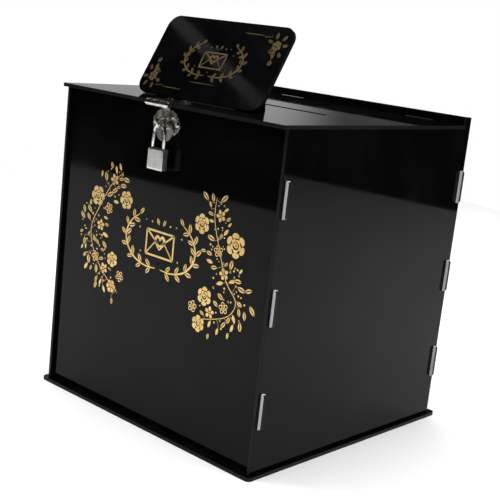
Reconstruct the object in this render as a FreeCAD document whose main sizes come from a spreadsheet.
"""Wedding card box: black sheet panels with tabs and slots, tilting lid, sign, hasp and padlock.

Millimetres, +Z up. The origin is on the underside of the base plate, midway between the side
panels, and -Y is the front with the hasp.
"""

import FreeCAD, Part
import Sketcher
import os
import re

SIZES = {
    # box
    "body_width": 250,
    "body_depth": 241,
    "side_height": 261,
    "sheet": 3,
    "base_side_lip": 3.5,
    "base_front_lip": 4.5,
    "base_rear_lip": 8,
    "base_corner": 4,
    "panel_inset": 3,
    "slot_gap": 0.1,
    # tabs that join the panels
    "wall_tab_height": 28,
    "wall_tab_pitch": 80,
    "wall_tab_proud": 3,
    "wall_tab_corner": 2,
    "floor_tab_length": 40,
    "floor_tab_spread": 70,
    # lid and the upstand behind it
    "lid_front_lip": 5.5,
    "lid_side_lip": 0.5,
    "lid_corner": 1.5,
    "lid_opening": 45,
    "lid_rear_play": 1,
    "lid_tab_width": 30,
    "lid_tab_spread": 75,
    "lid_tab_tail": 5.5,
    "lid_tab_play": 0.3,
    "upstand": 7,
    "ear_lead": 0.5,
    "card_slot_length": 136,
    "card_slot_width": 9,
    "card_slot_place": -8,
    # sign
    "sign_width": 140,
    "sign_height": 73.5,
    "sign_corner": 11,
    "sign_lean": 29,
    "sign_setback": 35,
    "foot_spread": 45,
    "foot_base": 32,
    "foot_rise": 48,
    "foot_tab_start": 7,
    "foot_tab_length": 18,
    # hasp
    "hasp_place": -2,
    "leaf_width": 25,
    "leaf_depth": 22,
    "leaf_thick": 1,
    "barrel_radius": 2.6,
    "barrel_gap": 0.3,
    "pin_radius": 1.1,
    "pin_play": 0.05,
    "pin_head_radius": 1.7,
    "pin_head_thick": 0.5,
    "knuckle_length": 8,
    "knuckle_gap": 0.2,
    "strap_thick": 1,
    "strap_gap": 0.5,
    "strap_shelf_gap": 0.2,
    "strap_neck": 8,
    "strap_bend": 1.5,
    "bill_radius": 9.5,
    "bill_slot_width": 3.6,
    "bill_slot_play": 1,
    "bill_throat_play": 0.4,
    # screws of the hasp
    "screw_radius": 1.2,
    "screw_play": 0.1,
    "screw_head_radius": 2.3,
    "screw_head_thick": 1.3,
    "screw_tip": 0.8,
    "nut_radius": 2.6,
    "nut_thick": 1.8,
    "leaf_screw_spread": 7.5,
    "leaf_screw_back": 17,
    # staple
    "plate_width": 31,
    "plate_height": 22,
    "plate_thick": 1,
    "plate_screw_spread": 12.2,
    "staple_wire": 1,
    "staple_bend": 4,
    "staple_drop": 16.7,
    # padlock
    "shackle_wire": 1.3,
    "shackle_bend": 6.2,
    "shackle_strap_gap": 3.2,
    "shackle_staple_gap": 1.4,
    "shackle_rest_gap": 0.3,
    "shackle_clear": 17.1,
    "lock_width": 17.4,
    "lock_height": 17,
    "lock_thick": 6.5,
    "lock_corner": 1.2,
    "leg_play": 0.05,
    "release_travel": 4.6,
    "toe_depth": 4.2,
    "toe_end_gap": 0.3,
    "heel_neck_radius": 0.7,
    "heel_tail": 1,
    "heel_end_gap": 0.7,
    "lock_pin_radius": 0.5,
    "lock_pin_reach": 5.7,
    "heel_pin_drop": 8,
    "plug_radius": 2.6,
    "plug_play": 0.05,
    "plug_groove_depth": 0.6,
    "plug_pin_drop": 12,
    "cam_pin_radius": 0.6,
    "keyway_width": 1,
    "keyway_length": 3.4,
    "keyway_depth": 8,
    "latch_drop": 0.9,
    "latch_thick": 1.5,
    "latch_bite": 0.5,
    "latch_travel": 2,
    "latch_wall": 0.6,
    "latch_back": 1.6,
    "latch_play": 0.1,
    "notch_slack": 1.3,
    "channel_plug_gap": 0.15,
}

# places that several pieces share, each worked out once from the sizes above
PLACES = {
    "half_width": "body_width / 2",
    "half_depth": "body_depth / 2",
    "inner_half": "half_width - sheet",
    "wall_top": "sheet + side_height",
    "lid_top": "wall_top + sheet",
    "upstand_top": "lid_top + upstand",
    "front_face": "-half_depth + panel_inset",
    "back_face": "half_depth - panel_inset - sheet",
    "ear_front": "back_face - ear_lead",
    "wall_middle": "sheet + side_height / 2",
    "tip_reach": "half_width + wall_tab_proud",
    "hinge_y": "back_face",
    "hinge_z": "wall_top + sheet",
    "lid_front": "-half_depth - lid_front_lip",
    "lid_half": "half_width + lid_side_lip",
    "sign_place": "lid_front + sign_setback",
    "lid_setback": "(ear_lead + lid_rear_play) / cos(lid_opening)",
    "lid_rear": "hinge_y - lid_setback",
    "lid_slot_roof": "hinge_z + lid_tab_play",
    "lid_slot_floor": "hinge_z - sheet / cos(lid_opening) - sheet * tan(lid_opening) - lid_tab_play",
    "barrel_y": "lid_front - barrel_gap - barrel_radius",
    "barrel_z": "lid_top + leaf_thick - barrel_radius",
    "leaf_screw_y": "lid_front + leaf_screw_back",
    "strap_back": "front_face - plate_thick - strap_gap",
    "strap_front": "strap_back - strap_thick",
    "strap_shelf": "wall_top - strap_shelf_gap",
    "bend_outer": "strap_bend + strap_thick",
    "bend_y": "strap_back - bend_outer",
    "bend_z": "strap_shelf - bend_outer",
    "staple_z": "lid_top - staple_drop",
    "bill_z": "staple_z - staple_bend - staple_wire",
    "shackle_y": "strap_front - shackle_strap_gap - shackle_wire",
    "staple_y": "shackle_y - shackle_wire - shackle_staple_gap + staple_bend - staple_wire",
    "shackle_z": "staple_z - staple_bend + staple_wire + shackle_rest_gap + shackle_wire",
    "arch_z": "shackle_z - shackle_bend",
    "lock_top": "shackle_z - shackle_wire - shackle_clear",
    "lock_floor": "lock_top - lock_height",
    "heel_x": "hasp_place - shackle_bend",
    "toe_x": "hasp_place + shackle_bend",
    "heel_pin_z": "lock_top - heel_pin_drop",
    "heel_pin_x": "heel_x + shackle_wire",
    "neck_top": "heel_pin_z + lock_pin_radius + latch_play",
    "neck_foot": "heel_pin_z - lock_pin_radius - latch_play - release_travel",
    "heel_end": "neck_foot - heel_tail",
    "plug_pin_z": "lock_top - plug_pin_drop",
    "plug_pin_x": "hasp_place + plug_radius",
    "latch_top": "lock_top - latch_drop",
    "latch_floor": "latch_top - latch_thick",
    "latch_nose": "toe_x - shackle_wire + latch_bite",
    "cam_reach": "latch_travel / 2",
    "cam_turn": "cam_reach / sin(45)",
    "cam_x": "hasp_place + cam_reach",
    "cam_slot_half": "cam_pin_radius + latch_play",
    "latch_side": "cam_turn + cam_slot_half + latch_wall",
    "latch_tail": "cam_x - cam_slot_half - latch_wall",
    "channel_end": "latch_tail - latch_travel - latch_play",
    "lock_side": "hasp_place + lock_width / 2",
    "channel_plug_start": "toe_x + shackle_wire + leg_play + channel_plug_gap",
    "lock_back": "shackle_y + lock_thick / 2",
}

AXES = {"X": FreeCAD.Vector(1, 0, 0), "Y": FreeCAD.Vector(0, 1, 0), "Z": FreeCAD.Vector(0, 0, 1)}
UPRIGHT = FreeCAD.Rotation()
TURNS = {
    "X": FreeCAD.Rotation(AXES["Y"], 90),
    "Y": FreeCAD.Rotation(AXES["X"], -90),
    "Z": UPRIGHT,
}
WORD = re.compile(r"[a-z][a-z_]*[a-z]")
PICK_TOLERANCE = 0.01
ALONG_AXIS = 0.999

doc = FreeCAD.newDocument("WeddingCardBox")
sheet = doc.addObject("Spreadsheet::Sheet", "Sizes")
kept = {}


def fill_sheet():
    """Write the driving sizes, then the shared places, one row each with its alias."""
    for row, (alias, number) in enumerate(SIZES.items(), 1):
        sheet.set(f"A{row}", alias)
        sheet.set(f"B{row}", str(number))
        sheet.setAlias(f"B{row}", alias)
    for row, (alias, formula) in enumerate(PLACES.items(), 1):
        sheet.set(f"D{row}", alias)
        sheet.set(f"E{row}", "=" + formula)
        sheet.setAlias(f"E{row}", alias)
    doc.recompute()


def bound(text):
    """Return an expression in which each size name reads its cell of the sheet."""
    def cell(match):
        word = match.group(0)
        return f"Sizes.{word}" if word in SIZES or word in PLACES else word
    return WORD.sub(cell, str(text))


def value(text):
    """Return the number that an expression has now."""
    return float(sheet.evalExpression(bound(text)))


def bind(obj, **formulas):
    """Tie properties of an object to expressions."""
    for name, text in formulas.items():
        obj.setExpression(name, bound(text))
    return obj


def put(obj, x, y, z, rotation=UPRIGHT):
    """Place an object, with its position tied to expressions."""
    obj.Placement = FreeCAD.Placement(FreeCAD.Vector(value(x), value(y), value(z)), rotation)
    for name, text in (("x", x), ("y", y), ("z", z)):
        obj.setExpression("Placement.Base." + name, bound(text))
    return obj


def keep(label, obj):
    """Label a finished sub-part and list it for export."""
    obj.Label = label
    kept[label] = obj
    return obj


def box(name, low, high):
    """A block between two corners, each three expressions."""
    obj = doc.addObject("Part::Box", name)
    spans = [f"({b}) - ({a})" for a, b in zip(low, high)]
    bind(obj, Length=spans[0], Width=spans[1], Height=spans[2])
    return put(obj, *low)


def rod(name, axis, start, length, radius):
    """A round bar from a start point along +X, +Y or +Z."""
    obj = doc.addObject("Part::Cylinder", name)
    bind(obj, Radius=radius, Height=length)
    return put(obj, *start, TURNS[axis])


def half_ring(name, centre, bend, wire, rotation):
    """Half of a ring of round wire."""
    obj = doc.addObject("Part::Torus", name)
    bind(obj, Radius1=bend, Radius2=wire)
    obj.Angle3 = 180
    return put(obj, *centre, rotation)


def fuse(name, parts):
    """Join solids into one."""
    obj = doc.addObject("Part::MultiFuse", name)
    obj.Shapes = parts
    obj.Refine = True
    return obj


def cut(name, base, tools):
    """Take one or more tool solids away from a base."""
    obj = doc.addObject("Part::Cut", name)
    obj.Base = base
    obj.Tool = tools[0] if len(tools) == 1 else fuse(name + "_tools", tools)
    return obj


def group(name, solids):
    """Keep separate identical solids together in one node."""
    obj = doc.addObject("Part::Compound", name)
    obj.Links = solids
    return obj


def origin_plane(body, role):
    """Return one of a body's own origin planes."""
    return next(item for item in body.Origin.OriginFeatures if item.Role == role)


def draw(body, name, role, loops, circles=()):
    """Add a fully dimensioned sketch of straight-sided loops and circles to a body."""
    sketch = body.newObject("Sketcher::SketchObject", name)
    sketch.AttachmentSupport = [(origin_plane(body, role), "")]
    sketch.MapMode = "FlatFace"

    def dimension(kind, geometry, point, text):
        index = sketch.addConstraint(Sketcher.Constraint(kind, -1, 1, geometry, point, value(text)))
        sketch.setExpression(f"Constraints[{index}]", bound(text))

    for loop in loops:
        corners = [FreeCAD.Vector(value(x), value(y), 0) for x, y in loop]
        first = sketch.GeometryCount
        for here, there in zip(corners, corners[1:] + corners[:1]):
            sketch.addGeometry(Part.LineSegment(here, there), False)
        for number, (x, y) in enumerate(loop):
            line = first + number
            following = first + (number + 1) % len(loop)
            sketch.addConstraint(Sketcher.Constraint("Coincident", line, 2, following, 1))
            dimension("DistanceX", line, 1, x)
            dimension("DistanceY", line, 1, y)
    for x, y, radius in circles:
        centre = FreeCAD.Vector(value(x), value(y), 0)
        ring = sketch.addGeometry(Part.Circle(centre, AXES["Z"], value(radius)), False)
        dimension("DistanceX", ring, 3, x)
        dimension("DistanceY", ring, 3, y)
        index = sketch.addConstraint(Sketcher.Constraint("Radius", ring, value(radius)))
        sketch.setExpression(f"Constraints[{index}]", bound(radius))
    return sketch


def pad(body, sketch, thickness, toward_normal=True):
    """Pad a sketch to a solid."""
    feature = body.newObject("PartDesign::Pad", sketch.Name + "_pad")
    feature.Profile = sketch
    feature.Reversed = not toward_normal
    bind(feature, Length=thickness)
    doc.recompute()
    return feature


def pocket(body, sketch):
    """Cut a sketch right through a body, and check that it took something away."""
    before = body.Shape.Volume
    feature = body.newObject("PartDesign::Pocket", sketch.Name + "_pocket")
    feature.Profile = sketch
    feature.Type = "ThroughAll"
    feature.Midplane = True
    doc.recompute()
    if body.Shape.Volume >= before:
        raise RuntimeError(sketch.Name + " cut nothing")
    return feature


def round_edges(body, name, radius, chosen):
    """Fillet the edges that a test picks from the body's tip."""
    tip = body.Tip
    edges = [f"Edge{n}" for n, edge in enumerate(tip.Shape.Edges, 1) if chosen(edge)]
    feature = body.newObject("PartDesign::Fillet", name)
    feature.Base = (tip, edges)
    bind(feature, Radius=radius)
    doc.recompute()
    return feature


def along(edge, axis):
    """Say whether an edge is straight and lies along an axis."""
    if edge.Curve.TypeId != "Part::GeomLine":
        return False
    return abs(edge.Curve.Direction.dot(AXES[axis])) > ALONG_AXIS


def rectangle(left, low, right, high):
    """Corners of an upright rectangle, anticlockwise."""
    return [(left, low), (right, low), (right, high), (left, high)]


def teeth(places, half, root, tip):
    """Corners of the tabs met while walking along +x on an edge at y = root, with tips at y = tip."""
    corners = []
    for place in places:
        near = f"{place} - ({half})"
        far = f"{place} + ({half})"
        corners += [(near, root), (near, tip), (far, tip), (far, root)]
    return corners


def swapped(corners):
    """Exchange x and y of a list of corners."""
    return [(y, x) for x, y in corners]


def sheet_part(label, role, outline, thickness="sheet"):
    """Start a body with its outline padded to the sheet's thickness; the caller places it."""
    body = doc.addObject("PartDesign::Body", label)
    pad(body, draw(body, label + "_outline", role, [outline]), thickness)
    return keep(label, body)


WALL_TABS = ["(wall_middle - wall_tab_pitch)", "wall_middle", "(wall_middle + wall_tab_pitch)"]
FLOOR_TABS = ["-floor_tab_spread", "floor_tab_spread"]
BOTH_SIDES = (("left", "-"), ("right", ""))


def base_plate():
    """Floor of the box, with a slot for each tab under the walls."""
    half = "half_width + base_side_lip"
    front = "-half_depth - base_front_lip"
    rear = "half_depth + base_rear_lip"
    body = sheet_part("base_plate", "XY_Plane", rectangle(f"-({half})", front, half, rear))
    reach = "floor_tab_length / 2 + slot_gap"
    rows = [("front_face", "front_face + sheet"), ("back_face", "back_face + sheet")]
    columns = [("-half_width", "-inner_half"), ("inner_half", "half_width")]
    slots = []
    for place in FLOOR_TABS:
        for low, high in rows:
            slots.append(rectangle(f"{place} - ({reach})", f"{low} - slot_gap",
                                   f"{place} + {reach}", f"{high} + slot_gap"))
        for low, high in columns:
            slots.append(rectangle(f"{low} - slot_gap", f"{place} - ({reach})",
                                   f"{high} + slot_gap", f"{place} + {reach}"))
    pocket(body, draw(body, "base_slots", "XY_Plane", slots))
    limit = value(half) - PICK_TOLERANCE
    round_edges(body, "base_corners", "base_corner",
                lambda edge: along(edge, "Z") and abs(edge.CenterOfMass.x) > limit)
    put(body, "0", "0", "0")


def side_panel(side, sign):
    """Side wall with slots for the front and back panels and an ear at its rear top corner."""
    label = f"{side}_side_panel"
    outline = [("-half_depth", "sheet")]
    outline += teeth(FLOOR_TABS, "floor_tab_length / 2", "sheet", "0")
    outline += [("half_depth", "sheet"), ("half_depth", "upstand_top"), ("ear_front", "upstand_top"),
                ("ear_front", "wall_top"), ("-half_depth", "wall_top")]
    body = sheet_part(label, "YZ_Plane", outline)
    reach = "(wall_tab_height / 2 + slot_gap)"
    slots = [rectangle(f"{face} - slot_gap", f"{place} - {reach}",
                       f"{face} + sheet + slot_gap", f"{place} + {reach}")
             for face in ("front_face", "back_face") for place in WALL_TABS]
    pocket(body, draw(body, f"{side}_wall_slots", "YZ_Plane", slots))
    put(body, "-half_width" if sign else "inner_half", "0", "0")


def cross_panel(label, face, top, holes=(), windows=()):
    """Front or back wall, with tabs at its ends and foot and with what is cut in it."""
    tall = swapped(teeth(WALL_TABS, "wall_tab_height / 2", "inner_half", "tip_reach"))
    outline = [("-inner_half", "sheet")]
    outline += teeth(FLOOR_TABS, "floor_tab_length / 2", "sheet", "0")
    outline += [("inner_half", "sheet")] + tall
    outline += [("inner_half", top), ("-inner_half", top)]
    outline += [(f"-{x}", y) for x, y in reversed(tall)]
    body = sheet_part(label, "XZ_Plane", outline)
    tips = value("tip_reach") - PICK_TOLERANCE
    round_edges(body, label + "_tab_corners", "wall_tab_corner",
                lambda edge: along(edge, "Y") and abs(edge.CenterOfMass.x) > tips)
    if holes or windows:
        pocket(body, draw(body, label + "_cuts", "XZ_Plane", windows, holes))
    put(body, "0", f"{face} + sheet", "0")


def front_panel():
    """Front wall with the two screw holes of the staple plate."""
    holes = [(f"hasp_place {way} plate_screw_spread", "staple_z", "screw_radius + screw_play")
             for way in "-+"]
    cross_panel("front_panel", "front_face", "wall_top", holes=holes)


def back_panel():
    """Back wall that stands above the lid, with the two slots that the lid's tabs tilt in."""
    half = "lid_tab_width / 2 + lid_tab_play"
    windows = [rectangle(f"{way}lid_tab_spread - ({half})", "lid_slot_floor",
                         f"{way}lid_tab_spread + {half}", "lid_slot_roof")
               for way in ("-", "")]
    cross_panel("back_panel", "back_face", "upstand_top", windows=windows)


def lid_panel():
    """Lid with two rear tabs, the card slot, the sign's slots and the hasp's screw holes."""
    tail = "hinge_y + lid_tab_tail"
    tabs = teeth(["-lid_tab_spread", "lid_tab_spread"], "lid_tab_width / 2", "lid_rear", tail)
    outline = [("-lid_half", "lid_front"), ("lid_half", "lid_front"), ("lid_half", "lid_rear")]
    outline += list(reversed(tabs)) + [("-lid_half", "lid_rear")]
    body = sheet_part("lid_panel", "XY_Plane", outline)
    half_slot = "card_slot_length / 2"
    slots = [rectangle(f"-{half_slot}", "card_slot_place - card_slot_width / 2",
                       half_slot, "card_slot_place + card_slot_width / 2")]
    start = "sign_place + foot_tab_start"
    for way in ("-", ""):
        slots.append(rectangle(f"{way}foot_spread - sheet / 2 - slot_gap", f"{start} - slot_gap",
                               f"{way}foot_spread + sheet / 2 + slot_gap",
                               f"{start} + foot_tab_length + slot_gap"))
    holes = [(f"hasp_place {way} leaf_screw_spread", "leaf_screw_y", "screw_radius + screw_play")
             for way in "-+"]
    pocket(body, draw(body, "lid_cuts", "XY_Plane", slots, holes))
    edge_x = value("lid_half") - PICK_TOLERANCE
    edge_y = value("lid_front") + PICK_TOLERANCE
    round_edges(body, "lid_corners", "lid_corner",
                lambda edge: along(edge, "Z") and abs(edge.CenterOfMass.x) > edge_x
                and edge.CenterOfMass.y < edge_y)
    put(body, "0", "0", "wall_top")


def sign_plate():
    """Sign that leans back from its lower rear edge on the lid."""
    half = "sign_width / 2"
    body = sheet_part("sign_plate", "XZ_Plane", rectangle(f"-{half}", "0", half, "sign_height"))
    round_edges(body, "sign_corners", "sign_corner", lambda edge: along(edge, "Y"))
    put(body, "0", "sign_place", "lid_top", FreeCAD.Rotation(-AXES["X"], value("sign_lean")))
    body.setExpression("Placement.Rotation.Angle", bound("sign_lean"))


def sign_foot(side, sign):
    """Gusset behind the sign, with a tab that drops into the lid."""
    label = f"sign_{side}_foot"
    start = "sign_place + foot_tab_start"
    outline = [("sign_place", "lid_top"), (start, "lid_top"), (start, "wall_top"),
               (f"{start} + foot_tab_length", "wall_top"), (f"{start} + foot_tab_length", "lid_top"),
               ("sign_place + foot_base", "lid_top"),
               ("sign_place + foot_rise * sin(sign_lean) + sheet", "lid_top + foot_rise * cos(sign_lean)"),
               ("sign_place + foot_rise * sin(sign_lean)", "lid_top + foot_rise * cos(sign_lean)")]
    body = sheet_part(label, "YZ_Plane", outline)
    put(body, f"{sign}foot_spread - sheet / 2", "0", "0")


def dome_screw(name, axis, seat, grip, way):
    """Round-headed screw: the head stands on the seat and the shank runs through the grip.

    way is "" when the shank points along the positive axis and "-" when it points the other way.
    """
    length = f"{grip} + nut_thick + screw_tip"
    head = "screw_head_thick"
    place = {"Y": 1, "Z": 2}[axis]
    shank_start = list(seat)
    head_start = list(seat)
    if way:
        shank_start[place] = f"{seat[place]} - ({length})"
    else:
        head_start[place] = f"{seat[place]} - {head}"
    shank = rod(name + "_shank", axis, shank_start, length, "screw_radius")
    cap = rod(name + "_head", axis, head_start, head, "screw_head_radius")
    return fuse(name, [shank, cap])


def hex_nut(name, axis, start):
    """Six-sided nut that starts at a point and runs along +Y or +Z."""
    outline = doc.addObject("Part::Prism", name + "_outline")
    outline.Polygon = 6
    bind(outline, Circumradius="nut_radius", Height="nut_thick")
    put(outline, *start, TURNS[axis])
    return cut(name, outline, [rod(name + "_hole", axis, start, "nut_thick", "screw_radius + pin_play")])


def hasp_leaf():
    """Leaf on the lid with the two outer knuckles, its pin, screws and nuts."""
    low_x = "hasp_place - leaf_width / 2"
    high_x = "hasp_place + leaf_width / 2"
    plate = box("leaf_plate", (low_x, "barrel_y", "lid_top"),
                (high_x, "barrel_y + leaf_depth + barrel_radius + barrel_gap", "lid_top + leaf_thick"))
    barrel = rod("leaf_barrel", "X", (low_x, "barrel_y", "barrel_z"), "leaf_width", "barrel_radius")
    half = "(knuckle_length / 2 + knuckle_gap)"
    window = box("leaf_window", (f"hasp_place - {half}", "barrel_y - barrel_radius - barrel_gap",
                                 "barrel_z - barrel_radius"),
                 (f"hasp_place + {half}", "lid_front", "lid_top + leaf_thick"))
    bore = rod("leaf_bore", "X", (low_x, "barrel_y", "barrel_z"), "leaf_width", "pin_radius + pin_play")
    places = [f"hasp_place {way} leaf_screw_spread" for way in "-+"]
    holes = [rod(f"leaf_hole_{n}", "Z", (x, "leaf_screw_y", "lid_top"), "leaf_thick",
                 "screw_radius + screw_play") for n, x in enumerate(places)]
    keep("hasp_leaf", cut("leaf_solid", fuse("leaf_blank", [plate, barrel]), [window, bore] + holes))
    pin = rod("pin_bar", "X", (low_x, "barrel_y", "barrel_z"), "leaf_width", "pin_radius")
    heads = [rod("pin_near_head", "X", (f"{low_x} - pin_head_thick", "barrel_y", "barrel_z"),
                 "pin_head_thick", "pin_head_radius"),
             rod("pin_far_head", "X", (high_x, "barrel_y", "barrel_z"),
                 "pin_head_thick", "pin_head_radius")]
    keep("hasp_pin", fuse("pin_solid", [pin] + heads))
    screws = [dome_screw(f"leaf_screw_{n}", "Z", (x, "leaf_screw_y", "lid_top + leaf_thick"),
                         "(leaf_thick + sheet)", "-") for n, x in enumerate(places)]
    keep("hasp_leaf_screws", group("leaf_screw_pair", screws))
    nuts = [hex_nut(f"leaf_nut_{n}", "Z", (x, "leaf_screw_y", "wall_top - nut_thick"))
            for n, x in enumerate(places)]
    keep("hasp_leaf_nuts", group("leaf_nut_pair", nuts))


def hasp_strap():
    """Swinging strap: middle knuckle, shelf under the lid's lip, bend, neck and slotted bill.

    The slot is open downward through a throat, so that the strap lifts clear of the staple's legs.
    """
    wide = ("hasp_place - bill_radius", "hasp_place + bill_radius")
    shelf = box("strap_shelf_bar", (wide[0], "barrel_y", "strap_shelf - strap_thick"),
                (wide[1], "bend_y", "strap_shelf"))
    drop = box("strap_drop_bar", (wide[0], "strap_front", "bill_z - bill_radius"),
               (wide[1], "strap_back", "bend_z"))
    outer = rod("strap_bend_outer", "X", (wide[0], "bend_y", "bend_z"), "2 * bill_radius", "bend_outer")
    inner = rod("strap_bend_inner", "X", (wide[0], "bend_y", "bend_z"), "2 * bill_radius", "strap_bend")
    quarter = box("strap_bend_quarter", (wide[0], "bend_y", "bend_z"),
                  (wide[1], "strap_back", "strap_shelf"))
    corner = doc.addObject("Part::Common", "strap_corner")
    corner.Base = cut("strap_bend_ring", outer, [inner])
    corner.Tool = quarter
    ribbon = fuse("strap_ribbon", [shelf, corner, drop])
    neck = box("strap_neck_prism", ("hasp_place - strap_neck / 2", "barrel_y", "bill_z"),
               ("hasp_place + strap_neck / 2", "strap_back", "strap_shelf"))
    bill = rod("strap_bill_prism", "Y", ("hasp_place", "strap_front", "bill_z"), "strap_thick", "bill_radius")
    blade = doc.addObject("Part::Common", "strap_blade")
    blade.Base = ribbon
    blade.Tool = fuse("strap_outline", [neck, bill])
    start = ("hasp_place - knuckle_length / 2", "barrel_y", "barrel_z")
    knuckle = rod("strap_knuckle", "X", start, "knuckle_length", "barrel_radius")
    bore = rod("strap_bore", "X", start, "knuckle_length", "pin_radius + pin_play")
    tall = "(staple_bend + staple_wire + bill_slot_play)"
    slot = box("strap_slot", ("hasp_place - bill_slot_width / 2", "strap_front", f"staple_z - {tall}"),
               ("hasp_place + bill_slot_width / 2", "strap_back", f"staple_z + {tall}"))
    throat_half = "(staple_wire + bill_throat_play)"
    throat = box("strap_throat", (f"hasp_place - {throat_half}", "strap_front", "bill_z - bill_radius"),
                 (f"hasp_place + {throat_half}", "strap_back", "staple_z"))
    keep("hasp_strap", cut("strap_solid", fuse("strap_blank", [blade, knuckle]), [bore, slot, throat]))


def staple():
    """Oval plate on the front panel, its wire staple, two screws and their nuts."""
    outline = doc.addObject("Part::Ellipse", "plate_outline")
    bind(outline, MajorRadius="plate_width / 2", MinorRadius="plate_height / 2")
    put(outline, "hasp_place", "front_face", "staple_z", FreeCAD.Rotation(AXES["X"], 90))
    disc = doc.addObject("Part::Extrusion", "plate_disc")
    disc.Base = outline
    disc.DirMode = "Custom"
    disc.Dir = -AXES["Y"]
    disc.Solid = True
    bind(disc, LengthFwd="plate_thick")
    face = "front_face - plate_thick"
    places = [f"hasp_place {way} plate_screw_spread" for way in "-+"]
    holes = [rod(f"plate_hole_{n}", "Y", (x, face, "staple_z"), "plate_thick", "screw_radius + screw_play")
             for n, x in enumerate(places)]
    legs = [f"staple_z {way} staple_bend" for way in "-+"]
    sockets = [rod(f"plate_socket_{n}", "Y", ("hasp_place", face, z), "plate_thick", "staple_wire")
               for n, z in enumerate(legs)]
    keep("staple_plate", cut("plate_solid", disc, holes + sockets))
    bars = [rod(f"staple_leg_{n}", "Y", ("hasp_place", "staple_y", z), "front_face - staple_y", "staple_wire")
            for n, z in enumerate(legs)]
    bow = half_ring("staple_bow", ("hasp_place", "staple_y", "staple_z"), "staple_bend", "staple_wire",
                    FreeCAD.Rotation(AXES["Z"], -AXES["Y"], AXES["X"]))
    keep("staple_loop", fuse("staple_solid", bars + [bow]))
    screws = [dome_screw(f"plate_screw_{n}", "Y", (x, face, "staple_z"), "(plate_thick + sheet)", "")
              for n, x in enumerate(places)]
    keep("staple_screws", group("plate_screw_pair", screws))
    nuts = [hex_nut(f"plate_nut_{n}", "Y", (x, "front_face + sheet", "staple_z"))
            for n, x in enumerate(places)]
    keep("staple_nuts", group("plate_nut_pair", nuts))


def padlock_shackle():
    """Bent wire with a notched toe and a heel that is necked for its retaining pin."""
    arch = half_ring("shackle_arch", ("hasp_place", "shackle_y", "arch_z"), "shackle_bend", "shackle_wire",
                     FreeCAD.Rotation(AXES["X"], AXES["Z"], -AXES["Y"]))
    toe_end = "lock_top - toe_depth"
    toe = rod("shackle_toe", "Z", ("toe_x", "shackle_y", toe_end), f"arch_z - ({toe_end})", "shackle_wire")
    heel = rod("shackle_heel", "Z", ("heel_x", "shackle_y", "heel_end"), "arch_z - heel_end", "shackle_wire")
    notch = box("shackle_notch",
                ("toe_x - shackle_wire", "shackle_y - shackle_wire", "latch_floor - notch_slack"),
                ("latch_nose + latch_play", "shackle_y + shackle_wire", "latch_top + latch_play"))
    span = "neck_top - neck_foot"
    sleeve = rod("shackle_neck_outer", "Z", ("heel_x", "shackle_y", "neck_foot"), span,
                 "shackle_wire + latch_play")
    core = rod("shackle_neck_core", "Z", ("heel_x", "shackle_y", "neck_foot"), span, "heel_neck_radius")
    neck = cut("shackle_neck", sleeve, [core])
    keep("padlock_shackle", cut("shackle_solid", fuse("shackle_blank", [arch, toe, heel]), [notch, neck]))


def channel(name, start, end, play):
    """Block in the latch's channel, as wide and tall as the latch and its play."""
    return box(name, (start, f"shackle_y - latch_back - {play}", f"latch_floor - {play}"),
               (end, f"shackle_y + latch_side + {play}", f"latch_top + {play}"))


def padlock_body():
    """Case with two shackle holes, the plug's bore, the latch channel and two pin holes."""
    case = doc.addObject("PartDesign::Body", "lock_case")
    outline = rectangle("-lock_width / 2", "-lock_thick / 2", "lock_width / 2", "lock_thick / 2")
    pad(case, draw(case, "lock_outline", "XY_Plane", [outline]), "lock_height")
    round_edges(case, "lock_corners", "lock_corner", lambda edge: True)
    put(case, "hasp_place", "shackle_y", "lock_floor")
    leg = "shackle_wire + leg_play"
    heel_floor = "heel_end - heel_end_gap"
    toe_floor = "lock_top - toe_depth - toe_end_gap"
    heel = rod("lock_heel_hole", "Z", ("heel_x", "shackle_y", heel_floor), f"lock_top - ({heel_floor})", leg)
    toe = rod("lock_toe_hole", "Z", ("toe_x", "shackle_y", toe_floor), f"lock_top - ({toe_floor})", leg)
    bore = rod("lock_plug_bore", "Z", ("hasp_place", "shackle_y", "lock_floor"),
               "latch_floor - lock_floor", "plug_radius + plug_play")
    slot = channel("lock_latch_channel", "channel_end", "lock_side", "latch_play")
    starts = {part: (f"{part}_pin_x", "lock_back - lock_pin_reach", f"{part}_pin_z")
              for part in ("heel", "plug")}
    pins = [rod(f"lock_{part}_pin_hole", "Y", start, "lock_pin_reach", "lock_pin_radius")
            for part, start in starts.items()]
    keep("padlock_body", cut("lock_solid", case, [heel, toe, bore, slot] + pins))
    keep("padlock_channel_plug", channel("lock_channel_plug", "channel_plug_start", "lock_side",
                                         "latch_play"))
    for part, start in starts.items():
        keep(f"padlock_{part}_pin", rod(f"lock_{part}_pin", "Y", start, "lock_pin_reach", "lock_pin_radius"))


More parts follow.
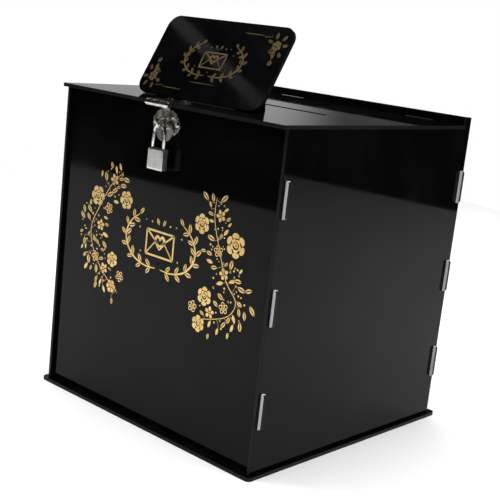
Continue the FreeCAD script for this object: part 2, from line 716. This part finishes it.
def padlock_plug():
    """Key plug with its keyway, a groove for the retaining pin and the offset pin that moves the latch."""
    centre = ("hasp_place", "shackle_y")
    barrel = rod("plug_barrel", "Z", (*centre, "lock_floor"), "latch_floor - latch_play - lock_floor",
                 "plug_radius")
    cam = rod("plug_cam_pin", "Z", ("cam_x", "shackle_y + cam_reach", "latch_floor - latch_play"),
              "latch_thick + latch_play", "cam_pin_radius")
    half = "(lock_pin_radius + latch_play)"
    ring = rod("plug_groove_outer", "Z", (*centre, f"plug_pin_z - {half}"), f"2 * {half}",
               "plug_radius + plug_play")
    core = rod("plug_groove_core", "Z", (*centre, f"plug_pin_z - {half}"), f"2 * {half}",
               "plug_radius - plug_groove_depth")
    groove = cut("plug_groove", ring, [core])
    keyway = box("plug_keyway",
                 ("hasp_place - keyway_width / 2", "shackle_y - keyway_length / 2", "lock_floor"),
                 ("hasp_place + keyway_width / 2", "shackle_y + keyway_length / 2",
                  "lock_floor + keyway_depth"))
    keep("padlock_plug", cut("plug_solid", fuse("plug_blank", [barrel, cam]), [groove, keyway]))


def padlock_latch():
    """Latch plate that bites the toe's notch, slotted for the plug's offset pin."""
    plate = box("latch_plate", ("latch_tail", "shackle_y - latch_back", "latch_floor"),
                ("latch_nose", "shackle_y + latch_side", "latch_top"))
    slot = box("latch_slot",
               ("cam_x - cam_slot_half", "shackle_y + cam_reach - cam_slot_half", "latch_floor"),
               ("cam_x + cam_slot_half", "shackle_y + cam_turn + cam_slot_half", "latch_top"))
    keep("padlock_latch", cut("latch_solid", plate, [slot]))


def check_all():
    """Stop if any object failed or any sub-part is empty or not valid."""
    for obj in doc.Objects:
        if "Invalid" in obj.State or "Error" in obj.State:
            raise RuntimeError(f"{obj.Name} is in state {obj.State}")
    for label, obj in kept.items():
        if obj.Shape.isNull() or not obj.Shape.isValid() or not obj.Shape.Solids:
            raise RuntimeError(f"{label} has no valid solid")


def write_all():
    """Write each sub-part to parts/ under its own label."""
    os.makedirs("parts", exist_ok=True)
    for label, obj in kept.items():
        obj.Shape.exportStep(f"parts/{label}.step")
        print(f"{label:24s} {len(obj.Shape.Solids)} solid(s) {obj.Shape.Volume:12.2f} mm3")


fill_sheet()
base_plate()
for side, sign in BOTH_SIDES:
    side_panel(side, sign)
front_panel()
back_panel()
lid_panel()
sign_plate()
for side, sign in BOTH_SIDES:
    sign_foot(side, sign)
hasp_leaf()
hasp_strap()
staple()
padlock_shackle()
padlock_body()
padlock_plug()
padlock_latch()
doc.recompute()
check_all()
write_all()
